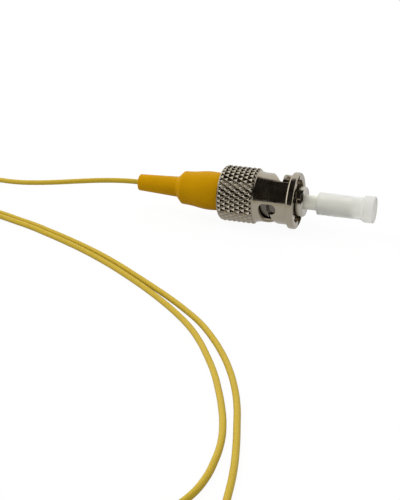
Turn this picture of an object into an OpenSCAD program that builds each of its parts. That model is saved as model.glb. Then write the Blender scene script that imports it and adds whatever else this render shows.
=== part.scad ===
// ST fibre connector on a single buffered fibre: bayonet coupling nut, keyed barrel,
// ceramic ferrule under a dust cap, rubber boot and the fibre it terminates.
// Millimetres. The connector lies along +X with its ferrule forwards, resting on its nut.

/* [Ferrule and fibre] */
// Diameter of the ceramic ferrule
ferrule_d = 2.5; // [1.8:0.1:2.6]
// Length of the ferrule
ferrule_l = 12.7; // [11:0.1:16]
// Length of ferrule that stands out of the barrel
ferrule_out = 7.7; // [6.5:0.1:9]
// Diameter of the bare glass fibre
glass_d = 0.125; // [0.1:0.005:0.25]
// Diameter of the buffered fibre
cord_d = 0.9; // [0.7:0.05:1]

/* [Barrel] */
// Diameter of the barrel that enters the adapter
barrel_d = 5.1; // [4.8:0.1:5.4]
// Length of the barrel in front of its collar
barrel_l = 5.85; // [5:0.05:7]
// Gap between the collar and the nut's bore
collar_gap = 0.3; // [0.25:0.05:0.5]
// Length of barrel that stands out of the nut
barrel_out = 1.2; // [0.8:0.1:2]
// Width of the collar
collar_w = 1.75; // [1:0.05:2.5]
// Diameter of the stem that the nut turns on
stem_d = 5.3; // [5:0.1:5.6]
// Diameter of the post inside the boot
post_d = 4; // [3.4:0.1:4.4]
// Length of the post behind the stem
post_l = 6; // [4:0.1:6.4]
// Width of the locating key
key_w = 1.1; // [0.8:0.05:1.4]
// Length of the locating key
key_l = 0.9; // [0.6:0.05:1.5]
// Height of the locating key above the barrel
key_h = 0.6; // [0.3:0.05:0.8]
// Distance of the key from the front of the barrel
key_back = 0.35; // [0.2:0.05:1]
// Angle of the key above the level side of the barrel
key_angle = 38; // [0:1:90]

/* [Ferrule holder] */
// Diameter of the ferrule holder
holder_d = 3.8; // [3.4:0.1:4.2]
// Length of ferrule that the holder grips
holder_grip = 2.5; // [1.5:0.1:3]
// Length of the holder behind the ferrule
holder_back = 4.5; // [3.5:0.1:5]

/* [Coupling nut] */
// Length of the nut
nut_l = 13.3; // [12.6:0.1:14]
// Bore that takes the adapter
nut_bore = 7.2; // [7.1:0.1:7.4]
// Wall of the plain sleeve round the bore
sleeve_wall = 0.6; // [0.5:0.05:0.8]
// Height of the knurl and the rim above the sleeve
rim_h = 0.6; // [0.5:0.05:0.8]
// Width of the front rim
rim_w = 1.2; // [0.9:0.1:1.6]
// Rounding of the rim
rim_round = 0.35; // [0.1:0.05:0.45]
// Chamfer at the rear of the nut
nut_chamfer = 0.45; // [0.3:0.05:0.7]
// Depth of the recess for the retaining ring
recess_l = 1.2; // [1:0.1:1.6]
// Thickness of the lip that holds the nut on the stem
lip_w = 0.8; // [0.5:0.05:1.2]
// Play of the nut on the stem, on each side
nut_play = 0.05; // [0.02:0.01:0.1]

/* [Knurl] */
// Diamonds round the knurl
knurl_count = 32; // [24:1:40]
// Half the length of a diamond along the nut
knurl_step = 0.84; // [0.6:0.02:1]
// Depth of the knurl
knurl_depth = 0.3; // [0.15:0.05:0.4]
// Flat left on each diamond, as a share of its size
knurl_flat = 0.3; // [0.1:0.05:0.6]
// Length of the land between the knurl and the sleeve
knurl_land = 0.85; // [0.6:0.05:1.2]

/* [Bayonet] */
// Width of the bayonet track
track_w = 1.9; // [1.6:0.1:2.1]
// Skin of the rim left outside the track's mouth
rim_skin = 0.3; // [0.2:0.05:0.4]
// Length of the track's straight mouth
mouth_l = 2.3; // [1.8:0.1:2.6]
// Turn of the track from its mouth to its pocket
track_turn = 95; // [80:1:105]
// Angle of the pocket above the level side of the nut
pocket_angle = -8; // [-40:1:40]
// Distance of the pocket from the front of the nut
pocket_back = 3.9; // [3.6:0.1:4.4]
// Depth of the pocket in the track's wall
pocket_deep = 1.1; // [0.8:0.05:1.3]

/* [Spring, washer and ring] */
// Wire of the coupling spring
spring_wire = 0.45; // [0.3:0.05:0.5]
// Turns of the coupling spring
spring_turns = 4.5; // [3:0.5:5.5]
// Thickness of the thrust washer
washer_t = 0.25; // [0.15:0.05:0.4]
// Thickness of the retaining ring
ring_t = 0.45; // [0.3:0.05:0.6]
// Gap of the retaining ring
ring_gap = 2.4; // [1.5:0.1:3.5]
// Width of the land behind the retaining ring
ring_land = 0.45; // [0.3:0.05:0.6]

/* [Boot] */
// Length of the boot's thick body
boot_body_l = 7.5; // [7:0.1:9]
// Diameter of the boot's body at its waist
boot_waist_d = 5.8; // [5.6:0.1:6.2]
// Diameter of the boot's body at its swell
boot_swell_d = 6.65; // [6.4:0.05:6.8]
// Gap round the boot's front in the nut's recess
boot_gap = 0.35; // [0.3:0.05:0.5]
// Length of the cone behind the body
boot_cone_l = 1.05; // [0.8:0.05:2]
// Length of the boot's tail
boot_tail_l = 7.2; // [6:0.1:12]
// Diameter of the tail where it leaves the cone
boot_tail_d = 3.55; // [3.3:0.05:3.8]
// Diameter of the tail at its end
boot_end_d = 2.85; // [2.6:0.05:3.2]

/* [Guide tube] */
// Outer diameter of the tube that guides the fibre
guide_d = 1.6; // [1.5:0.05:1.7]
// Wall of the guide tube
guide_wall = 0.3; // [0.15:0.01:0.3]

/* [Dust cap] */
// Length of the dust cap
cap_l = 9.6; // [8.5:0.1:12]
// Diameter of the cap at its mouth
cap_mouth_d = 3.8; // [3.4:0.05:4.2]
// Diameter of the cap before its head
cap_neck_d = 3.65; // [3.3:0.05:4]
// Diameter of the cap's head
cap_head_d = 4.45; // [4.2:0.05:5]
// Length of the cap's head
cap_head_l = 1.85; // [1:0.05:3]
// Gap between the cap and the barrel
cap_gap = 2.15; // [1.5:0.05:2.4]
// Grip clearance of the cap on the ferrule, on each side
cap_play = 0.03; // [0.02:0.01:0.08]

/* [Hidden] */
$fn = 48;

steel = [0.74, 0.72, 0.68];
rubber_yellow = [0.82, 0.62, 0.04];
buffer_yellow = [0.84, 0.68, 0.22];
ceramic = [0.9, 0.9, 0.86];

// Stations along the connector, from the rear face of the nut
// Clearance between pieces that bear on each other
touch = 0.02;
nut_d = nut_bore + 2 * (sleeve_wall + rim_h);
sleeve_d = nut_bore + 2 * sleeve_wall;
recess_d = nut_bore - 0.2;
collar_d = nut_bore - 2 * collar_gap;
lip_z = recess_l;
washer_z = lip_z + lip_w;
front_z = nut_l + barrel_out;
collar_front_z = front_z - barrel_l;
collar_z = collar_front_z - collar_w;
land_z = lip_z - touch - ring_t - ring_land;
post_z = land_z - post_l;
ferrule_tip_z = front_z + ferrule_out;
ferrule_z = ferrule_tip_z - ferrule_l;
cap_z = front_z + cap_gap;
cap_end_z = cap_z + cap_l;
boot_cone_z = land_z - boot_body_l;
boot_tail_z = boot_cone_z - boot_cone_l;
boot_end_z = boot_tail_z - boot_tail_l;
rim_z = nut_l - rim_w;
knurl_rows = 7;
knurl_l = knurl_rows * knurl_step;
sleeve_z = nut_chamfer + knurl_l + knurl_land;

// The connector's middle stands over the origin and its axis is half a nut above the ground
middle_z = (boot_end_z + cap_end_z) / 2;
axis_h = nut_d / 2;

module along_axis() {
    translate([-middle_z, 0, axis_h]) rotate([0, 90, 0]) children();
}

// Turns what lies along local +X to an angle above the level side that faces -Y
module at_angle(a) {
    rotate([0, 0, -90 - a]) children();
}

module turned(points) {
    rotate_extrude() polygon(points);
}

// ---- Coupling nut ----
knurl_valley = nut_d / 2 - knurl_depth;
knurl_inner = knurl_valley - 0.35;

function polar(r, step, z) =
    [r * cos(step * 180 / knurl_count), r * sin(step * 180 / knurl_count), z];

// One row of the knurl's outline: each diamond gives a valley and the two ends of its flat
function knurl_row(r_flat, r_valley, z, shift) = [for (i = [0 : knurl_count - 1], k = [0 : 2])
    k == 0 ? polar(r_valley, 2 * i - 1 + shift, z)
    : polar(r_flat, 2 * i + shift + (k == 1 ? -knurl_flat : knurl_flat), z)];

// Flats' front and rear corners, one for each diamond
function knurl_tips(z, shift) = [for (i = [0 : knurl_count - 1]) polar(nut_d / 2, 2 * i + shift, z)];

module knurl_band(z0) {
    n = knurl_count;
    m = 3 * n;
    rows = [for (j = [0 : knurl_rows])
        knurl_row(nut_d / 2, knurl_valley, z0 + j * knurl_step, j % 2)];
    heads = [for (j = [0 : knurl_rows]) knurl_tips(z0 + (j + knurl_flat) * knurl_step, j % 2)];
    tails = [for (j = [0 : knurl_rows]) knurl_tips(z0 + (j - knurl_flat) * knurl_step, j % 2)];
    bevel = knurl_depth;
    rear = knurl_row(knurl_valley, knurl_valley, z0 - bevel, 0);
    front = knurl_row(knurl_valley, knurl_valley, z0 + knurl_rows * knurl_step + bevel, knurl_rows % 2);
    in_rear = knurl_row(knurl_inner, knurl_inner, z0 - bevel, 0);
    in_front = knurl_row(knurl_inner, knurl_inner, z0 + knurl_rows * knurl_step + bevel, knurl_rows % 2);
    points = concat([for (r = rows) each r], [for (h = heads) each h], [for (t = tails) each t],
        rear, front, in_rear, in_front);
    head0 = (knurl_rows + 1) * m;
    tail0 = head0 + (knurl_rows + 1) * n;
    rear0 = tail0 + (knurl_rows + 1) * n;
    front0 = rear0 + m;
    in_rear0 = front0 + m;
    in_front0 = in_rear0 + m;
    last = knurl_rows * m;
    // In row j, diamond i has its valley before it, its flat's two sides, and the next valley
    function valley(j, i) = j * m + 3 * ((i + n) % n);
    function left(j, i) = valley(j, i) + 1;
    function right(j, i) = valley(j, i) + 2;
    // The valley that lies before or after a diamond's middle in the next or the previous row
    function beside(j, i, row) = valley(row, i + (j % 2 == 0 ? 0 : 1));
    upper = [for (j = [0 : knurl_rows - 1], i = [0 : n - 1]) each [
        [left(j, i), right(j, i), head0 + j * n + i],
        [valley(j, i), left(j, i), head0 + j * n + i],
        [valley(j, i), head0 + j * n + i, beside(j, i, j + 1)],
        [right(j, i), valley(j, i + 1), beside(j, i, j + 1)],
        [right(j, i), beside(j, i, j + 1), head0 + j * n + i]]];
    lower = [for (j = [1 : knurl_rows], i = [0 : n - 1]) each [
        [right(j, i), left(j, i), tail0 + j * n + i],
        [left(j, i), valley(j, i), tail0 + j * n + i],
        [tail0 + j * n + i, valley(j, i), beside(j, i, j - 1)],
        [valley(j, i + 1), right(j, i), beside(j, i, j - 1)],
        [beside(j, i, j - 1), right(j, i), tail0 + j * n + i]]];
    function strip(a, b) = [for (k = [0 : m - 1]) each [
        [a + k, a + (k + 1) % m, b + (k + 1) % m], [a + k, b + (k + 1) % m, b + k]]];
    polyhedron(points, [for (f = concat(upper, lower, strip(rear0, 0), strip(last, front0),
        strip(front0, in_front0), strip(in_front0, in_rear0), strip(in_rear0, rear0)))
        [f[0], f[2], f[1]]], convexity = 6);
}

// The way of the bayonet track: [station, angle] from the mouth in the rim to the pocket.
// The ramp flattens towards the pocket, so the stud is drawn in ever more gently.
track_z = nut_l - pocket_back - pocket_deep;
track_ramp = nut_l - mouth_l - track_z;
track = concat([[nut_l + 1, -track_turn]], [for (t = [0 : 0.25 : 1])
    [track_z + track_ramp * pow(1 - t, 1.8), -track_turn * (1 - t)]]);

// A cutter that stands on the nut's axis at one point of the track
module track_pin(p, r) {
    at_angle(p[1] + pocket_angle) translate([0, 0, p[0]]) rotate([0, 90, 0])
        cylinder(d = track_w, h = r);
}

module track_run(p, q, r) {
    arc = 2 * sin(abs(q[1] - p[1]) / 2) * sleeve_d / 2;
    run = q[0] - p[0];
    at_angle((p[1] + q[1]) / 2 + pocket_angle) translate([0, 0, (p[0] + q[0]) / 2])
        rotate([atan2(arc, run), 0, 0])
        translate([0, -track_w / 2, -norm([arc, run]) / 2]) cube([r, track_w, norm([arc, run])]);
}

module bayonet_track() {
    r = nut_d / 2 - rim_skin;
    intersection() {
        cylinder(r = r, h = nut_l + 1);
        union() {
            for (i = [1 : len(track) - 1]) track_pin(track[i], r + 1);
            for (i = [0 : len(track) - 2]) track_run(track[i], track[i + 1], r + 1);
            track_pin([nut_l - pocket_back, 0], r + 1);
            track_run([nut_l - pocket_back, 0], [track_z, 0], r + 1);
        }
    }
}

module nut_body() {
    base = knurl_valley - 0.12;
    turned([[nut_d / 2 - nut_chamfer - knurl_depth * 0.5, 0], [base, nut_chamfer - knurl_depth * 0.5],
        [base, sleeve_z - 0.55], [sleeve_d / 2, sleeve_z], [sleeve_d / 2, rim_z],
        [nut_d / 2 - rim_round, rim_z], for (a = [-90 : 30 : 90]) [nut_d / 2 - rim_round + rim_round * cos(a),
            (a < 0 ? rim_z + rim_round : nut_l - rim_round) + rim_round * sin(a)],
        [nut_bore / 2 + 0.25, nut_l], [nut_bore / 2, nut_l - 0.25], [nut_bore / 2, washer_z],
        [stem_d / 2 + nut_play, washer_z], [stem_d / 2 + nut_play, lip_z], [recess_d / 2, lip_z],
        [recess_d / 2, 0]]);
}

module coupling_nut() {
    color(steel) along_axis() union() {
        difference() {
            nut_body();
            for (turn = [0, 180]) rotate([0, 0, turn]) bayonet_track();
        }
        knurl_band(nut_chamfer + 0.05);
    }
}

// ---- Barrel: front, key, collar, stem and post are one turned piece ----
holder_front_z = ferrule_z + holder_grip;
holder_z = ferrule_z - holder_back;
ring_groove = 0.35;
post_ribs = 4;

module barrel() {
    r = stem_d / 2;
    rib = post_l / post_ribs;
    color(steel) along_axis() union() {
        turned(concat([[ferrule_d / 2 + 0.02, front_z], [barrel_d / 2 - 0.2, front_z],
            [barrel_d / 2, front_z - 0.2], [barrel_d / 2, collar_front_z], [collar_d / 2 - 0.15, collar_front_z],
            [collar_d / 2, collar_front_z - 0.15], [collar_d / 2, collar_z], [r, collar_z],
            [r, lip_z], [r - ring_groove, lip_z], [r - ring_groove, lip_z - ring_t - 2 * touch],
            [r, lip_z - ring_t - 2 * touch], [r, land_z]],
            [for (i = [0 : post_ribs - 1]) each [[post_d / 2 - 0.15, land_z - i * rib],
                [post_d / 2 - 0.15, land_z - (i + 0.5) * rib], [post_d / 2, land_z - (i + 0.5) * rib],
                [post_d / 2, land_z - (i + 0.7) * rib]]],
            [[post_d / 2 - 0.15, post_z], [guide_d / 2 + 0.05, post_z], [guide_d / 2 + 0.05, holder_z],
                [holder_d / 2, holder_z], [holder_d / 2, holder_front_z], [ferrule_d / 2 + 0.02, holder_front_z]]));
        at_angle(key_angle) translate([barrel_d / 2 - 0.2, -key_w / 2, front_z - key_l - key_back])
            cube([key_h + 0.2, key_w, key_l]);
    }
}

// ---- Ferrule, its holder and the fibre inside ----
fibre_bore_d = glass_d + 0.001;
funnel_l = 1;
tip_flat_d = 1.6;

module ferrule() {
    color(ceramic) along_axis() turned([[fibre_bore_d / 2, ferrule_z + funnel_l], [cord_d / 2, ferrule_z],
        [ferrule_d / 2 - 0.15, ferrule_z], [ferrule_d / 2, ferrule_z + 0.15], [ferrule_d / 2, ferrule_tip_z - 0.45],
        [tip_flat_d / 2, ferrule_tip_z - 0.03], [tip_flat_d / 4, ferrule_tip_z - 0.008],
        [fibre_bore_d / 2, ferrule_tip_z]]);
}

module ferrule_holder() {
    color(steel) along_axis() turned([[ferrule_d / 2, holder_front_z], [holder_d / 2 - 0.1, holder_front_z],
        [holder_d / 2, holder_front_z - 0.1], [holder_d / 2, ferrule_z - 0.6], [holder_d / 2 - 0.6, ferrule_z - 0.6],
        [holder_d / 2 - 0.6, holder_z], [cord_d / 2 + 0.03, holder_z], [cord_d / 2 + 0.03, ferrule_z],
        [ferrule_d / 2, ferrule_z]]);
}

strip_z = ferrule_z - 0.5;

module glass_fibre() {
    color([0.9, 0.95, 1]) along_axis() translate([0, 0, strip_z])
        cylinder(d = glass_d, h = ferrule_tip_z - strip_z);
}

module buffered_fibre() {
    color(buffer_yellow) along_axis() translate([0, 0, boot_end_z])
        cylinder(d = cord_d, h = strip_z - boot_end_z);
}

// ---- Spring, washer and ring ----
module thrust_washer() {
    color(steel) along_axis() translate([0, 0, washer_z + touch]) difference() {
        cylinder(d = nut_bore - 0.2, h = washer_t);
        translate([0, 0, -1]) cylinder(d = stem_d + 0.2, h = washer_t + 2);
    }
}

module retaining_ring() {
    r = stem_d / 2 + 0.55;
    half_gap = asin(ring_gap / 2 / r);
    color(steel) along_axis() at_angle(-90) rotate([0, 0, half_gap])
        translate([0, 0, lip_z - touch - ring_t]) rotate_extrude(angle = 360 - 2 * half_gap)
        translate([stem_d / 2 - ring_groove + touch, 0]) square([0.55 + ring_groove - touch, ring_t]);
}

spring_rings = 16;
spring_sides = 8;
spring_z = washer_z + 2 * touch + washer_t + spring_wire / 2;
spring_end_z = collar_z - touch - spring_wire / 2;
spring_r = (stem_d + nut_bore) / 4;

// The end turns lie closed: the rise eases in and out over three quarters of a turn
function spring_rise(t) = let (a = 0.75 / spring_turns)
    t < a ? t * t / a / 2 : t > 1 - a ? 1 - a - (1 - t) * (1 - t) / a / 2 : t - a / 2;

module coupling_spring() {
    n = spring_rings * spring_turns;
    span = spring_end_z - spring_z;
    top = spring_rise(1);
    rings = [for (i = [0 : n]) let (t = i / n, a = 360 * spring_turns * t)
        [for (k = [0 : spring_sides - 1]) let (b = 360 * k / spring_sides,
            r = spring_r + spring_wire / 2 * cos(b))
            [r * cos(a), r * sin(a), spring_z + span * spring_rise(t) / top + spring_wire / 2 * sin(b)]]];
    color(steel) along_axis() sweep(rings);
}

// Closes rings of points, one after another, into a solid
module sweep(rings) {
    m = len(rings[0]);
    last = (len(rings) - 1) * m;
    polyhedron([for (r = rings) each r], concat([[for (k = [0 : m - 1]) k]],
        [for (i = [0 : len(rings) - 2], k = [0 : m - 1]) each [
            [i * m + k, (i + 1) * m + k, (i + 1) * m + (k + 1) % m],
            [i * m + k, (i + 1) * m + (k + 1) % m, i * m + (k + 1) % m]]],
        [[for (k = [m - 1 : -1 : 0]) last + k]]), convexity = 10);
}

// ---- Boot ----
boot_front_d = recess_d - 2 * boot_gap;
boot_swell_z = boot_cone_z + 0.64 * boot_body_l;
boot_waist_z = boot_cone_z + 0.08 * boot_body_l;
guide_z = boot_end_z + 2;

function swell(from, to, t) = (from + (to - from) * (1 - cos(180 * t)) / 2) / 2;

module boot() {
    color(rubber_yellow) along_axis() turned(concat(
        [[cord_d / 2 + 0.05, boot_end_z], [boot_end_d / 2 - 0.12, boot_end_z],
            [boot_end_d / 2, boot_end_z + 0.12], [boot_tail_d / 2, boot_tail_z - 0.1],
            [boot_tail_d / 2 + 0.04, boot_tail_z], [boot_waist_d / 2 - 0.08, boot_cone_z - 0.07],
            [boot_waist_d / 2, boot_cone_z + 0.05]],
        [for (t = [0 : 0.125 : 1]) [swell(boot_waist_d, boot_swell_d, t),
            boot_waist_z + (boot_swell_z - boot_waist_z) * t]],
        [for (t = [0.25 : 0.25 : 1]) [boot_swell_d / 2 - (boot_swell_d - boot_front_d) / 2 * (1 - cos(90 * t)),
            boot_swell_z + (land_z - boot_swell_z) * t]],
        [[post_d / 2, land_z], [post_d / 2, post_z - 0.1], [guide_d / 2, post_z - 0.5],
            [guide_d / 2, guide_z], [cord_d / 2 + 0.05, guide_z]]));
}

module guide_tube() {
    color([0.93, 0.93, 0.9]) along_axis() translate([0, 0, guide_z]) difference() {
        cylinder(d = guide_d, h = holder_z - guide_z);
        translate([0, 0, -1]) cylinder(d = guide_d - 2 * guide_wall, h = holder_z - guide_z + 2);
    }
}

// ---- Dust cap ----
cap_bore_z = ferrule_tip_z + 0.6;

module dust_cap() {
    r = ferrule_d / 2 + cap_play;
    neck_z = cap_end_z - cap_head_l;
    color([0.9, 0.9, 0.88, 0.8]) along_axis() turned([[r, cap_z], [cap_mouth_d / 2 - 0.15, cap_z],
        [cap_mouth_d / 2, cap_z + 0.3], [cap_neck_d / 2, neck_z - 0.15], [cap_head_d / 2 - 0.1, neck_z],
        [cap_head_d / 2, neck_z + 0.1], [cap_head_d / 2, cap_end_z - 0.15], [cap_head_d / 2 - 0.15, cap_end_z],
        [0, cap_end_z], [0, cap_bore_z + 0.4], [r - 0.4, cap_bore_z + 0.2], [r, cap_bore_z - 0.2]]);
}

// ---- The fibre outside ----
fibre_exit = [boot_end_z - middle_z, 0, axis_h];
ground = cord_d / 2;

// From the boot down to the ground, round a bend and along to the coil
lead_way = [[-24, 0, 4.7], [-28, 0, 4.3], [-32.5, 0.1, 3.6], [-37, 0.3, 2.8], [-41.5, 0.8, 2],
    [-46, 1.6, 1.3], [-50.5, 2.8, 0.8], [-55, 4, 0.5]];
bend_way = [[-60, 4.8], [-65, 4.6], [-69.5, 3], [-73, 0], [-75, -4], [-75, -8.5], [-73, -12.5],
    [-69.5, -15.2], [-65.2, -16.3], [-60.8, -15.6], [-56.8, -13.8], [-52.8, -11.9], [-48.8, -10.8],
    [-45.4, -10.8], [-42, -11.7], [-38.3, -13.1], [-34.3, -14.6], [-30.4, -16.4], [-26.4, -18.3],
    [-22.4, -20.4], [-18.4, -22.7], [-14.4, -25.3], [-10.5, -28.1], [-6.7, -30.9], [-3, -33.7],
    [0.6, -36.7], [4.1, -40], [7, -43.5], [9.6, -47.2], [11.9, -51.1], [13.9, -55.2], [15.6, -59.5],
    [17, -64], [18.3, -68.5], [19.4, -73], [20.2, -77.5], [20.8, -82], [21.1, -86.5], [21.2, -91],
    [21.2, -94.5]];

// From the top of the coil down to the ground, then back beside the first strand to the bare end
drop_way = [[8, -92.7, 2.7], [9.4, -90.2, 1.9], [11.2, -87.7, 1.1], [13.2, -85, 0.6]];
tail_way = [[15.2, -81.9], [16.4, -78.9], [16.9, -75.6],
    [16.8, -71.8], [16.3, -68], [15.3, -64.2], [13.9, -60.4], [12.2, -56.5], [10.3, -52.6],
    [8.1, -48.8], [5.6, -44.9], [2.7, -41.2], [-0.5, -37.9], [-3.8, -34.9], [-7.3, -32],
    [-11.1, -29.1], [-15, -26.3], [-19, -23.7], [-22.9, -21.4], [-26.9, -19.3], [-30.8, -17.4],
    [-34.7, -15.6], [-38.7, -14.1], [-42.6, -12.7], [-46, -11.9], [-49.4, -12]];

// The coil: its middle, its diameter at the middle of its turns, and its turns across and high
coil_centre = [14, -98.5];
coil_d = 12 * cord_d;
coil_across = 5 * cord_d;
coil_high = 4 * cord_d;

function on_ground(way) = [for (p = way) [p[0], p[1], ground]];

// Rings of eight points across the way, standing upright
function tube_rings(way) = let (last = len(way) - 1) [for (i = [0 : last])
    let (step = way[min(i + 1, last)] - way[max(i - 1, 0)], side = cross(step, [0, 0, 1]) / norm(cross(step, [0, 0, 1])),
        up = cross(side, step) / norm(step))
    [for (k = [0 : 7]) way[i] + cord_d / 2 * (cos(45 * k + 22.5) * side + sin(45 * k + 22.5) * up)]];

lead_path = concat([fibre_exit, fibre_exit - [1, 0, 0]], lead_way, on_ground(bend_way));
tail_path = concat(drop_way, on_ground(tail_way));

module fibre_lead() {
    color(buffer_yellow) sweep(tube_rings(lead_path));
}

module fibre_tail() {
    color(buffer_yellow) sweep(tube_rings(tail_path));
}

module fibre_coil() {
    r = cord_d / 2;
    color(buffer_yellow) translate([coil_centre[0], coil_centre[1], 0]) turned([
        for (corner = [0 : 3], a = [0, 45, 90]) let (b = 90 * corner + a,
            out = corner == 0 || corner == 3 ? 1 : -1, up = corner < 2 ? 1 : -1)
            [coil_d / 2 + out * (coil_across / 2 - r) + r * cos(b),
                coil_high / 2 + up * (coil_high / 2 - r) + r * sin(b)]]);
}

coupling_nut();
barrel();
ferrule();
ferrule_holder();
glass_fibre();
coupling_spring();
thrust_washer();
retaining_ring();
boot();
guide_tube();
buffered_fibre();
dust_cap();
fibre_lead();
fibre_coil();
fibre_tail();
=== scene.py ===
"""Dresses the packed fibre connector: plated nut, ceramic ferrule, rubber boot, dust cap and fibre."""

import math

import bmesh
import bpy
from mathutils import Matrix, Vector


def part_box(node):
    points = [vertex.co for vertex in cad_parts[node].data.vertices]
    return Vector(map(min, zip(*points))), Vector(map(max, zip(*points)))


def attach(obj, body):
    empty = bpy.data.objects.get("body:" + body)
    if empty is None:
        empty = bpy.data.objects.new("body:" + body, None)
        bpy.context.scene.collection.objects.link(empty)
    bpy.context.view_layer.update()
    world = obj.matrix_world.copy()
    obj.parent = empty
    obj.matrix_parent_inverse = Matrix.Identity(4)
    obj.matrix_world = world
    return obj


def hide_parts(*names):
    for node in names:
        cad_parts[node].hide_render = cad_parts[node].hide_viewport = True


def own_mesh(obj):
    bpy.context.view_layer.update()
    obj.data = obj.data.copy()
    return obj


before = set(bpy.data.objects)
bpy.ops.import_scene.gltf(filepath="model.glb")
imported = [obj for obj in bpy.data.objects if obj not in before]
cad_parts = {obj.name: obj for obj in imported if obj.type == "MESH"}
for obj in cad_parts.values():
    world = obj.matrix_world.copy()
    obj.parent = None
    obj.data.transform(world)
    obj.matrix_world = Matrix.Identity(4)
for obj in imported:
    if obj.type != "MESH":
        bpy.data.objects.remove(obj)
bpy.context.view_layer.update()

bl_info = {
    "name": "Bayonet Fibre Connector",
    "version": (1, 0, 0),
    "blender": (4, 5, 0),
    "location": "View3D > Sidebar > Connector",
    "description": "Dresses a packed bayonet fibre connector with its knurl, boot, dust cap and fibre",
    "category": "Object",
}

MM = 0.001
NUT_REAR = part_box("coupling_nut")[0].x
NUT_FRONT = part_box("coupling_nut")[1].x
AXIS_H = (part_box("coupling_nut")[0].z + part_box("coupling_nut")[1].z) / 2
BOOT_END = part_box("boot")[0].x
BOOT_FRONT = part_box("boot")[1].x
CAP_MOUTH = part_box("dust_cap")[0].x
CAP_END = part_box("dust_cap")[1].x
FERRULE_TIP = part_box("ferrule")[1].x

# Small fixed forms of the nut and its tracks
KNURL_CHAMFER = 0.45 * MM
RECESS_RADIUS = 3.5 * MM
STEM_RADIUS = 2.7 * MM
RAMP_STEPS, RAMP_CURVE = 16, 1.8
ROUND_STEPS = 12
# The collar that shows through the bayonet slot lies behind this station and inside this radius, and is
# darkened there with painted shade
COLLAR_FRONT, COLLAR_RADIUS = NUT_FRONT - 2 * MM, 2.4 * MM
# Turns that lie closed at each end of the spring, sides of its wire, and steps along one turn
CLOSED_TURNS, WIRE_SIDES, TURN_STEPS = 0.75, 10, 40
LAMP_ACROSS = 0.3


# ---- Sizes and colours that a user would change ----

def length(name, value, about):
    """A size in metres, given in millimetres."""
    return bpy.props.FloatProperty(
        name=name, description=about, default=value * MM, min=0, unit="LENGTH", precision=5)


def colour(name, code, about):
    """A colour, given as sRGB hex."""
    return bpy.props.FloatVectorProperty(
        name=name, description=about, default=linear(code), min=0, max=1, size=3, subtype="COLOR")


def linear(code):
    """An sRGB hex colour as linear red, green and blue."""
    parts = [int(code[i:i + 2], 16) / 255 for i in (1, 3, 5)]
    return tuple(p / 12.92 if p <= 0.04045 else ((p + 0.055) / 1.055) ** 2.4 for p in parts)


class NutSizes(bpy.types.PropertyGroup):
    """Sizes of the coupling nut."""
    across: length("Across the knurl", 9.6, "Diameter over the knurl and the rim")
    bore: length("Bore", 7.2, "Bore that takes the adapter")
    wall: length("Sleeve wall", 0.6, "Wall of the plain sleeve")
    rim: length("Rim", 1.2, "Width of the front rim")
    rim_skin: length("Rim skin", 0.3, "Metal left outside the mouth of a track")
    knurl: length("Knurl", 6.38, "Length of the knurled band with its chamfer")
    knurl_depth: length("Knurl depth", 0.3, "Depth of the knurl")
    diamonds: bpy.props.IntProperty(
        name="Diamonds", description="Diamonds round the knurl", default=32, min=12, max=60)
    diamond_length: length("Diamond length", 1.68, "Length of one diamond along the nut")
    crest: bpy.props.FloatProperty(
        name="Crest", description="Flat left on a diamond, as a share of its width", default=0.08, min=0.02,
        max=0.8, subtype="FACTOR")
    track: length("Track width", 1.9, "Width of the bayonet track")
    track_turn: bpy.props.FloatProperty(
        name="Track turn", description="Turn from the mouth of a track to its pocket",
        default=math.radians(95), subtype="ANGLE")
    pocket_angle: bpy.props.FloatProperty(
        name="Pocket angle", description="Angle of the first pocket above the level side",
        default=math.radians(-8), subtype="ANGLE")
    pocket_back: length("Pocket", 3.9, "Distance of the pocket from the front of the nut")
    pocket_deep: length("Pocket depth", 1.1, "Depth of the pocket in the wall of the track")
    mouth: length("Track mouth", 2.3, "Length of the straight mouth of a track")
    spring_wire: length("Spring wire", 0.45, "Wire of the coupling spring")
    spring_turns: bpy.props.FloatProperty(
        name="Spring turns", description="Turns of the coupling spring", default=4.5, min=2, max=8)


class SoftSizes(bpy.types.PropertyGroup):
    """Sizes of the boot, the dust cap and the fibre."""
    waist: length("Boot waist", 5.8, "Diameter of the boot at its waist")
    swell: length("Boot swell", 6.65, "Diameter of the boot at its swell")
    boot_front: length("Boot front", 6.3, "Diameter of the boot inside the nut")
    body: length("Boot body", 7.5, "Length of the thick body of the boot")
    cone: length("Boot cone", 1.05, "Length of the cone behind the body")
    tail: length("Boot tail", 3.55, "Diameter of the tail of the boot at the cone")
    tail_end: length("Boot end", 2.85, "Diameter of the tail of the boot at its end")
    post: length("Post", 4, "Diameter of the post inside the boot")
    cap_mouth: length("Cap mouth", 3.8, "Diameter of the dust cap at its mouth")
    cap_neck: length("Cap neck", 3.65, "Diameter of the dust cap before its head")
    cap_head: length("Cap head", 4.45, "Diameter of the head of the dust cap")
    cap_head_length: length("Cap head length", 1.85, "Length of the head of the dust cap")
    cap_bore: length("Cap bore", 2.56, "Bore of the dust cap")
    fibre: length("Fibre", 0.9, "Diameter of the buffered fibre")
    fibre_length: length("Fibre length", 1020, "Length of the buffered fibre outside the boot")


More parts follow.
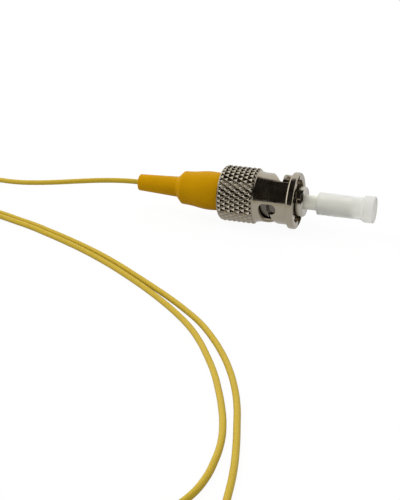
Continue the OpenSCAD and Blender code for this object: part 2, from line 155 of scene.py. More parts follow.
class Finishes(bpy.types.PropertyGroup):
    """Colours of the materials."""
    nickel: colour("Nickel", "#BDB3A1", "Nickel plate of the nut")
    barrel: colour("Barrel nickel", "#CFCABF", "Nickel plate of the barrel")
    steel: colour("Steel", "#9FA0A2", "Drawn and stamped steel inside the nut")
    ceramic: colour("Ceramic", "#E6E4D8", "Ceramic of the ferrule")
    rubber: colour("Boot rubber", "#BB8900", "Moulded rubber of the boot")
    buffer: colour("Fibre buffer", "#BDA127", "Buffer round the fibre")
    cap: colour("Dust cap", "#FAFAF4", "Translucent plastic of the dust cap")
    tube: colour("Guide tube", "#EDEDE6", "Plastic of the guide tube")
    floor: colour("Floor", "#C4C4C4", "Paper under the connector")


# ---- Mesh helpers ----

def piece(name, mesh, body, material):
    """Puts a finished mesh in the scene as a piece that moves with a body."""
    made = bpy.data.objects.new(name, mesh)
    bpy.context.scene.collection.objects.link(made)
    mesh.materials.clear()
    mesh.materials.append(material)
    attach(made, body)
    return made


def soften(made, angle=35):
    """Smooth shading with crisp corners, and flat faces that stay flat."""
    made.data.shade_smooth()
    made.data.set_sharp_from_angle(angle=math.radians(angle))
    even = made.modifiers.new("Even shading", "WEIGHTED_NORMAL")
    even.keep_sharp = True
    even.weight = 90


def rounded(corners, steps=4):
    """An outline of (station, radius) points from corners of (station, radius, rounding)."""
    points = []
    for i, (x, r, rounding) in enumerate(corners):
        here = Vector((x, r))
        before, after = Vector(corners[i - 1][:2]), Vector(corners[(i + 1) % len(corners)][:2])
        reach = min(rounding, (here - before).length * 0.49, (here - after).length * 0.49)
        if reach <= 0:
            points.append((x, r))
            continue
        start = here + (before - here).normalized() * reach
        end = here + (after - here).normalized() * reach
        for k in range(steps + 1):
            t = k / steps
            p = start * (1 - t) ** 2 + here * 2 * t * (1 - t) + end * t ** 2
            points.append((p.x, p.y))
    return points


def turned(name, outline, around=128):
    """A mesh turned about the connector's axis from a closed outline of (station, radius) points."""
    bm = bmesh.new()
    rings = []
    for x, r in outline:
        if r < 1e-7:
            rings.append([bm.verts.new((x, 0, AXIS_H))] * around)
            continue
        rings.append([bm.verts.new((x, -r * math.cos(a), AXIS_H + r * math.sin(a)))
                      for a in (math.tau * k / around for k in range(around))])
    for i, ring in enumerate(rings):
        after = rings[(i + 1) % len(rings)]
        for k in range(around):
            corners = [ring[k], ring[(k + 1) % around], after[(k + 1) % around], after[k]]
            corners = list(dict.fromkeys(corners))
            if len(corners) > 2:
                bm.faces.new(corners)
    bmesh.ops.recalc_face_normals(bm, faces=bm.faces)
    mesh = bpy.data.meshes.new(name)
    bm.to_mesh(mesh)
    bm.free()
    return mesh


def at(station, radius, angle):
    """A point by its station, its distance from the axis and its angle above the level side."""
    return Vector((station, -radius * math.cos(angle), AXIS_H + radius * math.sin(angle)))


def baked(made):
    """The object's mesh with its modifiers applied. The object goes."""
    bpy.context.view_layer.update()
    mesh = bpy.data.meshes.new_from_object(made.evaluated_get(bpy.context.evaluated_depsgraph_get()))
    bpy.data.objects.remove(made)
    return mesh


# ---- Materials ----

def add(tree, kind, inputs=None, **settings):
    """Adds a shader node with its settings; an input is a value or another node's output."""
    made = tree.nodes.new(kind)
    for name, value in settings.items():
        setattr(made, name, value)
    for name, value in (inputs or {}).items():
        if isinstance(value, bpy.types.NodeSocket):
            tree.links.new(value, made.inputs[name])
        else:
            made.inputs[name].default_value = value
    return made


def surface(name, **sockets):
    """A material with one Principled shader whose sockets are set, and its node tree."""
    material = bpy.data.materials.get(name)
    if material:
        return material, None, None
    material = bpy.data.materials.new(name)
    material.use_nodes = True
    tree = material.node_tree
    shader = tree.nodes["Principled BSDF"]
    for socket, value in sockets.items():
        socket = socket.replace("_", " ")
        shader.inputs[socket].default_value = (*value, 1) if socket == "Base Color" else value
    return material, tree, shader


def per_metre(size_mm):
    """The texture scale that repeats a pattern every so many millimetres."""
    return 1 / (size_mm * MM)


def radius_from_axis(tree):
    """A node output with each point's distance from the connector's axis, in metres."""
    place = add(tree, "ShaderNodeTexCoord").outputs["Object"]
    offset = add(tree, "ShaderNodeVectorMath", {0: place, 1: (0, 0, AXIS_H)}, operation="SUBTRACT")
    across = add(tree, "ShaderNodeVectorMath", {0: offset.outputs[0], 1: (0, 1, 1)}, operation="MULTIPLY")
    return add(tree, "ShaderNodeVectorMath", {0: across.outputs[0]}, operation="LENGTH").outputs["Value"]


def plated_nickel(name, hue, shade_from=None, shade_to=None):
    """Bright nickel on turned brass: warm mirror with fine rings left by the lathe tool.

    The rings break long reflections into thin streaks, and handling leaves faint cloudy patches.
    With shade_from and shade_to, painted shade darkens the metal below those radii, in the knurl's valleys.
    """
    material, tree, shader = surface(name, Base_Color=hue, Metallic=1, Roughness=0.16)
    if tree is None:
        return material
    place = add(tree, "ShaderNodeTexCoord").outputs["Object"]
    # Tool marks lie 0.05 mm apart, drawn at 0.12 mm so that they show
    rings = add(tree, "ShaderNodeMapping", {"Vector": place, "Scale": (per_metre(0.12), 40, 40)})
    marks = add(tree, "ShaderNodeTexNoise", {"Vector": rings.outputs[0], "Scale": 1, "Detail": 3})
    # Clouding from handling is about 1.5 mm across
    cloud = add(tree, "ShaderNodeTexNoise", {"Vector": place, "Scale": per_metre(1.5), "Detail": 4})
    blend = add(tree, "ShaderNodeMath", {0: cloud.outputs["Fac"], 1: marks.outputs["Fac"]},
                operation="MULTIPLY")
    rough = add(tree, "ShaderNodeMapRange", {"Value": blend.outputs[0], 1: 0.1, 2: 0.45, 3: 0.1, 4: 0.26})
    tree.links.new(rough.outputs[0], shader.inputs["Roughness"])
    tint = add(tree, "ShaderNodeMix", {"Factor": cloud.outputs["Fac"]}, data_type="RGBA")
    tint.inputs["A"].default_value = (*[c * 0.9 for c in hue], 1)
    tint.inputs["B"].default_value = (*hue, 1)
    last = tint.outputs["Result"]
    if shade_from is not None:
        # Painted shade: below shade_to the metal mixes up to 0.45 towards #2A2118, as the knurl's valleys lie
        # in shade
        depth = add(tree, "ShaderNodeMapRange",
                    {"Value": radius_from_axis(tree), 1: shade_from, 2: shade_to, 3: 0.45, 4: 0})
        painted_valley_shade = add(tree, "ShaderNodeMix", {"Factor": depth.outputs[0], "A": last}, data_type="RGBA")
        painted_valley_shade.inputs["B"].default_value = (*linear("#2A2118"), 1)
        last = painted_valley_shade.outputs["Result"]
    tree.links.new(last, shader.inputs["Base Color"])
    bump = add(tree, "ShaderNodeBump",
               {"Height": marks.outputs["Fac"], "Strength": 0.25, "Distance": 0.012 * MM})
    tree.links.new(bump.outputs[0], shader.inputs["Normal"])
    return material


def turned_collar(name, hue, front, radius):
    """Satin nickel plate whose collar, behind the front and inside the nut, is darkened with painted shade.
    """
    material = plated_nickel(name, hue)
    tree = material.node_tree
    shader = tree.nodes["Principled BSDF"]
    bright = shader.inputs["Base Color"].links[0].from_socket
    # Painted shade: the collar, wider than radius and behind front, mixes up to 0.75 towards #3A2F24, as it
    # lies in the nut's shade
    inside = add(tree, "ShaderNodeMapRange",
                 {"Value": radius_from_axis(tree), 1: radius, 2: radius + 0.1 * MM, 3: 0, 4: 0.75})
    station = add(tree, "ShaderNodeSeparateXYZ", {0: add(tree, "ShaderNodeTexCoord").outputs["Object"]})
    behind = add(tree, "ShaderNodeMath", {0: station.outputs["X"], 1: front}, operation="LESS_THAN")
    share = add(tree, "ShaderNodeMath", {0: inside.outputs[0], 1: behind.outputs[0]}, operation="MULTIPLY")
    dull = add(tree, "ShaderNodeMix", {"Factor": share.outputs[0], "A": bright}, data_type="RGBA")
    dull.inputs["B"].default_value = (*linear("#3A2F24"), 1)
    tree.links.new(dull.outputs["Result"], shader.inputs["Base Color"])
    return material


def drawn_steel(hue):
    """Drawn and stamped spring steel: grey metal with a dull, slightly oily shine."""
    material, tree, shader = surface("Drawn spring steel", Base_Color=hue, Metallic=1, Roughness=0.35)
    if tree is None:
        return material
    place = add(tree, "ShaderNodeTexCoord").outputs["Object"]
    film = add(tree, "ShaderNodeTexNoise", {"Vector": place, "Scale": per_metre(0.6), "Detail": 3})
    rough = add(tree, "ShaderNodeMapRange", {"Value": film.outputs["Fac"], 1: 0.3, 2: 0.7, 3: 0.25, 4: 0.45})
    tree.links.new(rough.outputs[0], shader.inputs["Roughness"])
    return material


def polished_zirconia(hue):
    """Ground and polished zirconia: dense white ceramic that light enters a little, with a glassy shine."""
    material, tree, shader = surface(
        "Polished zirconia", Base_Color=hue, Roughness=0.12, IOR=2.1, Subsurface_Weight=0.25,
        Subsurface_Radius=(0.4 * MM, 0.4 * MM, 0.35 * MM), Subsurface_Scale=1)
    if tree is None:
        return material
    place = add(tree, "ShaderNodeTexCoord").outputs["Object"]
    grain = add(tree, "ShaderNodeTexNoise", {"Vector": place, "Scale": per_metre(0.3), "Detail": 3})
    rough = add(tree, "ShaderNodeMapRange", {"Value": grain.outputs["Fac"], 1: 0.3, 2: 0.7, 3: 0.08, 4: 0.18})
    tree.links.new(rough.outputs[0], shader.inputs["Roughness"])
    return material


def moulded_rubber(hue):
    """Injection moulded soft PVC in deep yellow: matt, with hardly any shine and a faint flow in its tone."""
    material, tree, shader = surface(
        "Moulded yellow rubber", Base_Color=hue, Roughness=0.5, IOR=1.5, Specular_IOR_Level=0.04,
        Subsurface_Weight=0.05, Subsurface_Radius=(0.6 * MM, 0.4 * MM, 0.05 * MM), Subsurface_Scale=1)
    if tree is None:
        return material
    place = add(tree, "ShaderNodeTexCoord").outputs["Object"]
    flow = add(tree, "ShaderNodeTexNoise", {"Vector": place, "Scale": per_metre(3.5), "Detail": 3})
    tint = add(tree, "ShaderNodeMix", {"Factor": flow.outputs["Fac"]}, data_type="RGBA")
    tint.inputs["A"].default_value = (*[c * 0.86 for c in hue], 1)
    tint.inputs["B"].default_value = (*[min(1, c * 1.08) for c in hue], 1)
    tree.links.new(tint.outputs["Result"], shader.inputs["Base Color"])
    # The mould's spark-eroded grain is 0.05 mm, drawn at 0.12 mm so that it shows
    grain = add(tree, "ShaderNodeTexNoise", {"Vector": place, "Scale": per_metre(0.12), "Detail": 2})
    rough = add(tree, "ShaderNodeMapRange", {"Value": flow.outputs["Fac"], 1: 0.3, 2: 0.7, 3: 0.42, 4: 0.56})
    tree.links.new(rough.outputs[0], shader.inputs["Roughness"])
    bump = add(tree, "ShaderNodeBump",
               {"Height": grain.outputs["Fac"], "Strength": 0.3, "Distance": 0.01 * MM})
    tree.links.new(bump.outputs[0], shader.inputs["Normal"])
    return material


def extruded_buffer(hue):
    """Extruded yellow PVC buffer: even satin skin with faint lengthwise tone changes."""
    material, tree, shader = surface(
        "Extruded yellow buffer", Base_Color=hue, Roughness=0.45, IOR=1.5, Specular_IOR_Level=0.25,
        Subsurface_Weight=0.1, Subsurface_Radius=(0.4 * MM, 0.25 * MM, 0.05 * MM), Subsurface_Scale=1)
    if tree is None:
        return material
    place = add(tree, "ShaderNodeTexCoord").outputs["Object"]
    tone = add(tree, "ShaderNodeTexNoise", {"Vector": place, "Scale": per_metre(6), "Detail": 3})
    tint = add(tree, "ShaderNodeMix", {"Factor": tone.outputs["Fac"]}, data_type="RGBA")
    tint.inputs["A"].default_value = (*[c * 0.88 for c in hue], 1)
    tint.inputs["B"].default_value = (*hue, 1)
    tree.links.new(tint.outputs["Result"], shader.inputs["Base Color"])
    skin = add(tree, "ShaderNodeTexNoise", {"Vector": place, "Scale": per_metre(0.4), "Detail": 2})
    bump = add(tree, "ShaderNodeBump",
               {"Height": skin.outputs["Fac"], "Strength": 0.04, "Distance": 0.004 * MM})
    tree.links.new(bump.outputs[0], shader.inputs["Normal"])
    return material


def frosted_polythene(hue):
    """Moulded low-density polythene: milky, lets the ferrule show through as a soft shadow."""
    material, tree, shader = surface(
        "Frosted polythene", Base_Color=hue, Roughness=0.5, IOR=1.51, Transmission_Weight=0.6,
        Subsurface_Weight=0.4, Subsurface_Radius=(0.8 * MM, 0.8 * MM, 0.8 * MM), Subsurface_Scale=1)
    if tree is None:
        return material
    place = add(tree, "ShaderNodeTexCoord").outputs["Object"]
    haze = add(tree, "ShaderNodeTexNoise", {"Vector": place, "Scale": per_metre(1.2), "Detail": 3})
    rough = add(tree, "ShaderNodeMapRange", {"Value": haze.outputs["Fac"], 1: 0.3, 2: 0.7, 3: 0.45, 4: 0.6})
    tree.links.new(rough.outputs[0], shader.inputs["Roughness"])
    grain = add(tree, "ShaderNodeTexNoise", {"Vector": place, "Scale": per_metre(0.4), "Detail": 2})
    bump = add(tree, "ShaderNodeBump",
               {"Height": grain.outputs["Fac"], "Strength": 0.3, "Distance": 0.02 * MM})
    tree.links.new(bump.outputs[0], shader.inputs["Normal"])
    return material


def silica_glass():
    """Drawn silica: clear and smooth."""
    return surface("Silica glass", Base_Color=(0.95, 0.97, 1), Roughness=0.02, IOR=1.46,
                   Transmission_Weight=1)[0]


def extruded_tube(hue):
    """Extruded acetal tube: plain, slightly waxy white."""
    return surface("Extruded acetal tube", Base_Color=hue, Roughness=0.4, IOR=1.48)[0]


def finishes():
    return bpy.context.scene.connector_finishes


def nut_sizes():
    return bpy.context.scene.connector_nut


def soft_sizes():
    return bpy.context.scene.connector_soft


# ---- Coupling nut ----

def knurl_mesh(sizes):
    """The diamond knurl as a skin: two families of V grooves cross, and each diamond keeps a small crest."""
    count, long = sizes.diamonds, sizes.diamond_length
    outer, valley = sizes.across / 2, sizes.across / 2 - sizes.knurl_depth
    low, high = (1 - sizes.crest) / 2, (1 + sizes.crest) / 2
    steps = [0, 0.06, low / 2, low, (low + high) / 2, high, (1 + high) / 2, 0.94, 1]
    bm = bmesh.new()
    for row in range(-2, int(sizes.knurl / long * 2) + 4):
        for turn in range(count):
            for i in range(len(steps) - 1):
                for j in range(len(steps) - 1):
                    corners = []
                    for s, t in ((i, j), (i + 1, j), (i + 1, j + 1), (i, j + 1)):
                        s, t = steps[s], steps[t]
                        angle = (turn + row / 2 + (s + t) / 2) * math.tau / count
                        station = long * (row + s - t) / 2
                        rise = min(s, 1 - s, t, 1 - t) / low
                        corners.append(bm.verts.new((station, angle, min(1, rise))))
                    bm.faces.new(corners)
    bmesh.ops.remove_doubles(bm, verts=bm.verts, dist=1e-6)
    for station in (0, sizes.knurl):
        bmesh.ops.bisect_plane(bm, geom=bm.verts[:] + bm.edges[:] + bm.faces[:], dist=1e-7,
                               plane_co=(station, 0, 0), plane_no=(-1 if station == 0 else 1, 0, 0),
                               clear_outer=True)
    for inset in (0.08, 0.16, 0.24, 0.32, 0.4, 0.48):
        for station in (inset * MM, sizes.knurl - inset * MM):
            bmesh.ops.bisect_plane(bm, geom=bm.verts[:] + bm.edges[:] + bm.faces[:], dist=1e-7,
                                   plane_co=(station, 0, 0), plane_no=(1, 0, 0))
    for v in bm.verts:
        station, angle, rise = v.co
        reach = min(station, sizes.knurl - station)
        radius = min(valley + rise * (outer - valley), outer - KNURL_CHAMFER + reach)
        v.co = at(NUT_REAR + station, radius, angle)
    bmesh.ops.remove_doubles(bm, verts=bm.verts, dist=1e-7)
    bmesh.ops.recalc_face_normals(bm, faces=bm.faces)
    middles = [(f.normal, f.calc_center_median()) for f in bm.faces]
    if sum(normal.dot(middle - Vector((middle.x, 0, AXIS_H))) for normal, middle in middles) < 0:
        bmesh.ops.reverse_faces(bm, faces=bm.faces)
    mesh = bpy.data.meshes.new("Diamond knurl")
    bm.to_mesh(mesh)
    bm.free()
    return mesh


def track_way(sizes):
    """The middle of the bayonet track from its mouth to the end of the pocket: (station, angle) points."""
    low = NUT_FRONT - sizes.pocket_back - sizes.pocket_deep
    ramp = NUT_FRONT - sizes.mouth - low
    turn = sizes.track_turn
    way = [(NUT_FRONT + 1 * MM, -turn)]
    for k in range(RAMP_STEPS + 1):
        t = k / RAMP_STEPS
        way.append((low + ramp * (1 - t) ** RAMP_CURVE, -turn * (1 - t)))
    way.append((NUT_FRONT - sizes.pocket_back, 0))
    return [(x, a + sizes.pocket_angle) for x, a in way]


def track_cutter(sizes, turn):
    """The meshes that clear one bayonet track: a link for each step of its way, from the bore outwards."""
    radius = sizes.bore / 2 + sizes.wall
    half = sizes.track / 2
    inner, outer = sizes.bore / 2 - 0.5 * MM, sizes.across / 2 - sizes.rim_skin
    way = [Vector((x, a * radius)) for x, a in track_way(sizes)]
    hulls = []
    for p, q in zip(way, way[1:]):
        along = (q - p).normalized()
        ring = []
        for centre, start in ((p, math.pi / 2), (q, -math.pi / 2)):
            facing = math.atan2(along.y, along.x) + start
            for k in range(ROUND_STEPS + 1):
                a = facing + math.pi * k / ROUND_STEPS
                ring.append(centre + Vector((math.cos(a), math.sin(a))) * half)
        hulls.append(ring)
    solids = []
    for n, ring in enumerate(hulls):
        bm = bmesh.new()
        loops = [[bm.verts.new(at(p.x, r, p.y / radius + turn)) for p in ring] for r in (inner, outer)]
        size = len(ring)
        for k in range(size):
            bm.faces.new([loops[0][k], loops[0][(k + 1) % size], loops[1][(k + 1) % size], loops[1][k]])
        bm.faces.new(loops[0][::-1])
        bm.faces.new(loops[1])
        bmesh.ops.recalc_face_normals(bm, faces=bm.faces)
        mesh = bpy.data.meshes.new(f"Track link {n}")
        bm.to_mesh(mesh)
        bm.free()
        solids.append(mesh)
    return solids


def nut_outline(sizes):
    """The outline of the turned nut, from its rear face over the sleeve to the bore."""
    outer, bore = sizes.across / 2, sizes.bore / 2
    sleeve, core = bore + sizes.wall, sizes.across / 2 - sizes.knurl_depth - 0.02 * MM
    band = NUT_REAR + sizes.knurl
    rim = NUT_FRONT - sizes.rim
    lip, step = NUT_REAR + 1.2 * MM, NUT_REAR + 2 * MM
    return rounded([
        (NUT_REAR, RECESS_RADIUS, 0.08 * MM), (NUT_REAR, outer - 0.46 * MM, 0),
        (NUT_REAR + 0.13 * MM, core, 0), (band - 0.1 * MM, core, 0), (band, outer - 0.46 * MM, 0.05 * MM),
        (band + 0.25 * MM, outer - 0.5 * MM, 0.15 * MM), (band + 0.75 * MM, sleeve, 0.2 * MM),
        (rim, sleeve, 0.12 * MM), (rim, outer, 0.35 * MM), (NUT_FRONT, outer, 0.35 * MM),
        (NUT_FRONT, bore, 0.22 * MM), (step, bore, 0), (step, STEM_RADIUS, 0.06 * MM),
        (lip, STEM_RADIUS, 0.06 * MM), (lip, RECESS_RADIUS, 0)])


class ConnectorNut(bpy.types.Operator):
    """Turns the coupling nut, cuts its bayonet tracks and wraps the diamond knurl round it"""
    bl_idname = "connector.nut"
    bl_label = "Coupling Nut"

    def execute(self, context):
        sizes = nut_sizes()
        blank = bpy.data.objects.new("Nut blank", turned("Nut blank", nut_outline(sizes), 160))
        context.scene.collection.objects.link(blank)
        hold = bpy.data.collections.new("Tracks")
        context.scene.collection.children.link(hold)
        cutters = [bpy.data.objects.new("Track", mesh)
                   for turn in (0, math.pi) for mesh in track_cutter(sizes, turn)]
        for cutter in cutters:
            hold.objects.link(cutter)
        cut = blank.modifiers.new("Tracks", "BOOLEAN")
        cut.operand_type = "COLLECTION"
        cut.collection = hold
        cut.operation = "DIFFERENCE"
        cut.solver = "EXACT"
        cut.use_self = True
        edge = blank.modifiers.new("Deburred edges", "BEVEL")
        edge.width = 0.06 * MM
        edge.segments = 2
        edge.limit_method = "ANGLE"
        edge.angle_limit = math.radians(50)
        mesh = baked(blank)
        for cutter in cutters:
            bpy.data.objects.remove(cutter)
        bpy.data.collections.remove(hold)
        bm = bmesh.new()
        bm.from_mesh(mesh)
        plain = len(bm.faces)
        bm.from_mesh(knurl_mesh(sizes))
        bm.to_mesh(mesh)
        bm.free()
        metal = plated_nickel("Bright nickel plate", finishes().nickel[:])
        made = piece("coupling_nut_knurled", mesh, "nut", metal)
        # The knurl's plate carries painted shade in its valleys, below these radii
        mesh.materials.append(plated_nickel("Knurled nickel plate", finishes().nickel[:],
                                            sizes.across / 2 - sizes.knurl_depth,
                                            sizes.across / 2 - 0.4 * sizes.knurl_depth))
        for face in mesh.polygons:
            face.material_index = 1 if face.index >= plain else 0
        soften(made, 30)
        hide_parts("coupling_nut")
        return {"FINISHED"}


# ---- Barrel, ferrule and the pieces inside ----

class ConnectorBarrel(bpy.types.Operator):
    """Plates the barrel and its key, and finishes the ceramic ferrule that stands out of it"""
    bl_idname = "connector.barrel"
    bl_label = "Barrel and Ferrule"

    def execute(self, context):
        # The barrel's plate carries painted shade on its collar inside the nut
        metal = turned_collar("Satin nickel plate", finishes().barrel[:], COLLAR_FRONT, COLLAR_RADIUS)
        for node, material in (("barrel", metal), ("ferrule_holder", metal),
                               ("ferrule", polished_zirconia(finishes().ceramic[:]))):
            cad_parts[node].data.materials.clear()
            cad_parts[node].data.materials.append(material)
        return {"FINISHED"}


class ConnectorSpring(bpy.types.Operator):
    """Winds the coupling spring, which the nut squeezes against the collar"""
    bl_idname = "connector.spring"
    bl_label = "Coupling Spring"

    def execute(self, context):
        s = nut_sizes()
        low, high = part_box("coupling_spring")
        wire = s.spring_wire
        mean = (high.y - low.y - wire) / 2
        closed, steps = CLOSED_TURNS / s.spring_turns, round(TURN_STEPS * s.spring_turns)
        bm = bmesh.new()
        rings = []
        for k in range(steps + 1):
            t = k / steps
            # The end turns lie closed, so the rise eases in and out
            rise = (t * t / closed / 2 if t < closed else
                    1 - closed - (1 - t) ** 2 / closed / 2 if t > 1 - closed else t - closed / 2)
            station = low.x + wire / 2 + (high.x - low.x - wire) * rise / (1 - closed)
            rings.append([bm.verts.new(at(station + wire / 2 * math.sin(b), mean + wire / 2 * math.cos(b),
                                          math.tau * s.spring_turns * t))
                          for b in (math.tau * n / WIRE_SIDES for n in range(WIRE_SIDES))])
        for ring, after in zip(rings, rings[1:]):
            for n in range(WIRE_SIDES):
                beside = (n + 1) % WIRE_SIDES
                bm.faces.new([ring[n], ring[beside], after[beside], after[n]])
        bm.faces.new(rings[0][::-1])
        bm.faces.new(rings[-1])
        bmesh.ops.recalc_face_normals(bm, faces=bm.faces)
        mesh = bpy.data.meshes.new("coupling_spring_wound")
        bm.to_mesh(mesh)
        bm.free()
        made = piece("coupling_spring_wound", mesh, "plug",
                     drawn_steel(finishes().steel[:]))
        made.data.shade_smooth()
        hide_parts("coupling_spring")
        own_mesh(made)
        return {"FINISHED"}


class ConnectorInside(bpy.types.Operator):
    """Finishes the washer, ring, guide tube and fibre inside the connector"""
    bl_idname = "connector.inside"
    bl_label = "Pieces Inside"

    def execute(self, context):
        steel = drawn_steel(finishes().steel[:])
        inside = {"thrust_washer": steel, "retaining_ring": steel,
                  "guide_tube": extruded_tube(finishes().tube[:]), "glass_fibre": silica_glass(),
                  "buffered_fibre": extruded_buffer(finishes().buffer[:])}
        for node, material in inside.items():
            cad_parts[node].data.materials.clear()
            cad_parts[node].data.materials.append(material)
        return {"FINISHED"}


# ---- Boot ----

class ConnectorBoot(bpy.types.Operator):
    """Moulds the boot: a swelling body, a short cone and a slim tail"""
    bl_idname = "connector.boot"
    bl_label = "Boot"

    def execute(self, context):
        s = soft_sizes()
        cone = BOOT_FRONT - s.body
        tail = cone - s.cone
        waist, swell = cone + 0.08 * s.body, cone + 0.64 * s.body
        guide = 0.8 * MM
        corners = [
            (BOOT_END, s.fibre / 2 + 0.05 * MM, 0.03 * MM), (BOOT_END, s.tail_end / 2, 0.12 * MM),
            (tail, s.tail / 2, 0.15 * MM), (cone, s.waist / 2 - 0.04 * MM, 0.15 * MM)]
        for k in range(1, 17):
            t = k / 16
            ease = (1 - math.cos(math.pi * t)) / 2
            corners.append((waist + (swell - waist) * t, (s.waist + (s.swell - s.waist) * ease) / 2, 0))
        for k in range(1, 9):
            t = k / 8
            fall = (s.swell - s.boot_front) / 2 * (1 - math.cos(math.pi / 2 * t))
            corners.append((swell + (BOOT_FRONT - swell) * t, s.swell / 2 - fall, 0.12 * MM if k == 8 else 0))
        corners += [(BOOT_FRONT, s.post / 2, 0), (BOOT_FRONT - 6.1 * MM, s.post / 2, 0),
                    (BOOT_FRONT - 6.5 * MM, guide, 0), (BOOT_END + 2 * MM, guide, 0),
                    (BOOT_END + 2 * MM, s.fibre / 2 + 0.05 * MM, 0)]
        made = piece("boot_moulded", turned("boot_moulded", rounded(corners, 6)), "plug",
                     moulded_rubber(finishes().rubber[:]))
        soften(made)
        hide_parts("boot")
        return {"FINISHED"}


# ---- Dust cap ----

class ConnectorCap(bpy.types.Operator):
    """Moulds the translucent dust cap that slides over the ferrule"""
    bl_idname = "connector.cap"
    bl_label = "Dust Cap"

    def execute(self, context):
        s = soft_sizes()
        neck = CAP_END - s.cap_head_length
        bore = s.cap_bore / 2
        closed = FERRULE_TIP + 0.6 * MM
        outline = rounded([
            (CAP_MOUTH, bore, 0.08 * MM), (CAP_MOUTH, s.cap_mouth / 2, 0.25 * MM),
            (neck - 0.15 * MM, s.cap_neck / 2, 0.12 * MM), (neck, s.cap_head / 2, 0.12 * MM),
            (CAP_END, s.cap_head / 2, 0.2 * MM), (CAP_END, 0, 0), (closed + 0.4 * MM, 0, 0),
            (closed - 0.1 * MM, bore, 0.5 * MM)], 5)
        made = piece("dust_cap_moulded", turned("dust_cap_moulded", outline, 96), "cap",
                     frosted_polythene(finishes().cap[:]))
        soften(made)
        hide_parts("dust_cap")
        return {"FINISHED"}


# ---- Fibre ----

# From the boot down to the ground, round a bend out on the left and along to the coil, in millimetres
LEAD_WAY = [(-24, 0, 4.7), (-28, 0, 4.3), (-32.5, 0.1, 3.6), (-37, 0.3, 2.8), (-41.5, 0.8, 2),
            (-46, 1.6, 1.3), (-50.5, 2.8, 0.8), (-55, 4, 0.5)]
BEND_WAY = [(-60, 4.8), (-65, 4.6), (-69.5, 3), (-73, 0), (-75, -4), (-75, -8.5), (-73, -12.5),
            (-69.5, -15.2), (-65.2, -16.3), (-60.8, -15.6), (-56.8, -13.8), (-52.8, -11.9), (-48.8, -10.8),
            (-45.4, -10.8), (-42, -11.7), (-38.3, -13.1), (-34.3, -14.6), (-30.4, -16.4), (-26.4, -18.3),
            (-22.4, -20.4), (-18.4, -22.7), (-14.4, -25.3), (-10.5, -28.1), (-6.7, -30.9), (-3, -33.7),
            (0.6, -36.7), (4.1, -40), (7, -43.5), (9.6, -47.2), (11.9, -51.1), (13.9, -55.2),
            (15.6, -59.5), (17, -64), (18.3, -68.5), (19.4, -73), (20.2, -77.5), (20.8, -82),
            (21.1, -86.5), (21.2, -91), (21.2, -94.5)]
# From the top of the coil down to the ground, then back beside the first strand to the bare end
DROP_WAY = [(8, -92.7, 2.7), (9.4, -90.2, 1.9), (11.2, -87.7, 1.1), (13.2, -85, 0.6)]
TAIL_WAY = [(15.2, -81.9), (16.4, -78.9), (16.9, -75.6), (16.8, -71.8), (16.3, -68), (15.3, -64.2),
            (13.9, -60.4), (12.2, -56.5), (10.3, -52.6), (8.1, -48.8), (5.6, -44.9), (2.7, -41.2),
            (-0.5, -37.9), (-3.8, -34.9), (-7.3, -32), (-11.1, -29.1), (-15, -26.3), (-19, -23.7),
            (-22.9, -21.4), (-26.9, -19.3), (-30.8, -17.4), (-34.7, -15.6), (-38.7, -14.1), (-42.6, -12.7),
            (-46, -11.9), (-49.4, -12)]
COIL_CENTRE = (14, -98.5)
COIL_ACROSS, COIL_HIGH, COIL_STEPS = 5, 4, 24


def coil_way(diameter):
    """The coil's turns, clockwise from above: inwards in the first layer, outwards in the next, and so on.

    In the last quarter of a turn the fibre first climbs and then shifts, so no turn meets another.
    """
    places = []
    for layer in range(COIL_HIGH):
        across = range(COIL_ACROSS) if layer % 2 == 0 else reversed(range(COIL_ACROSS))
        places += [(8 - n, layer + 0.5) for n in across]
    places.append(places[-1])
    points = []
    for turn in range(len(places) - 1):
        here, there = places[turn], places[turn + 1]
        for k in range(COIL_STEPS):
            share = k / COIL_STEPS
            climb = min(1, max(0, (share - 0.7) / 0.15))
            shift = min(1, max(0, (share - 0.85) / 0.15))
            radius = (here[0] + (there[0] - here[0]) * shift) * diameter
            height = (here[1] + (there[1] - here[1]) * climb) * diameter
            angle = -math.tau * share
            points.append((COIL_CENTRE[0] * MM + radius * math.cos(angle),
                           COIL_CENTRE[1] * MM + radius * math.sin(angle), height))
    last = places[-1]
    for k in range(COIL_STEPS // 2 + 1):
        angle = -math.tau * k / COIL_STEPS
        points.append((COIL_CENTRE[0] * MM + last[0] * diameter * math.cos(angle),
                       COIL_CENTRE[1] * MM + last[0] * diameter * math.sin(angle), last[1] * diameter))
    return points


class ConnectorFibre(bpy.types.Operator):
    """Lays the buffered fibre: out of the boot, round to the coil and back to its bare end"""
    bl_idname = "connector.fibre"
    bl_label = "Fibre"

    def execute(self, context):
        s = soft_sizes()
        ground = s.fibre / 2
        start = Vector((BOOT_END, 0, AXIS_H))
        way = [start, start - Vector((1 * MM, 0, 0))]
        way += [Vector(p) * MM for p in LEAD_WAY]
        way += [Vector((x * MM, y * MM, ground)) for x, y in BEND_WAY]
        way += [Vector(p) for p in coil_way(s.fibre)]
        way += [Vector(p) * MM for p in DROP_WAY]
        way += [Vector((x * MM, y * MM, ground)) for x, y in TAIL_WAY]
        line = bpy.data.curves.new("buffered_fibre_run", "CURVE")
        line.dimensions = "3D"
        line.bevel_depth = s.fibre / 2
        line.bevel_resolution = 4
        line.resolution_u = 4
        line.use_fill_caps = True
        spline = line.splines.new("BEZIER")
        spline.bezier_points.add(len(way) - 1)
        for point, place in zip(spline.bezier_points, way):
            point.co = place
            point.handle_left_type = point.handle_right_type = "AUTO"
        line.materials.append(extruded_buffer(finishes().buffer[:]))
        made = bpy.data.objects.new("buffered_fibre_run", line)
        context.scene.collection.objects.link(made)
        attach(made, "plug")
        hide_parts("fibre_lead", "fibre_coil", "fibre_tail")
        return {"FINISHED"}


# ---- Stage ----

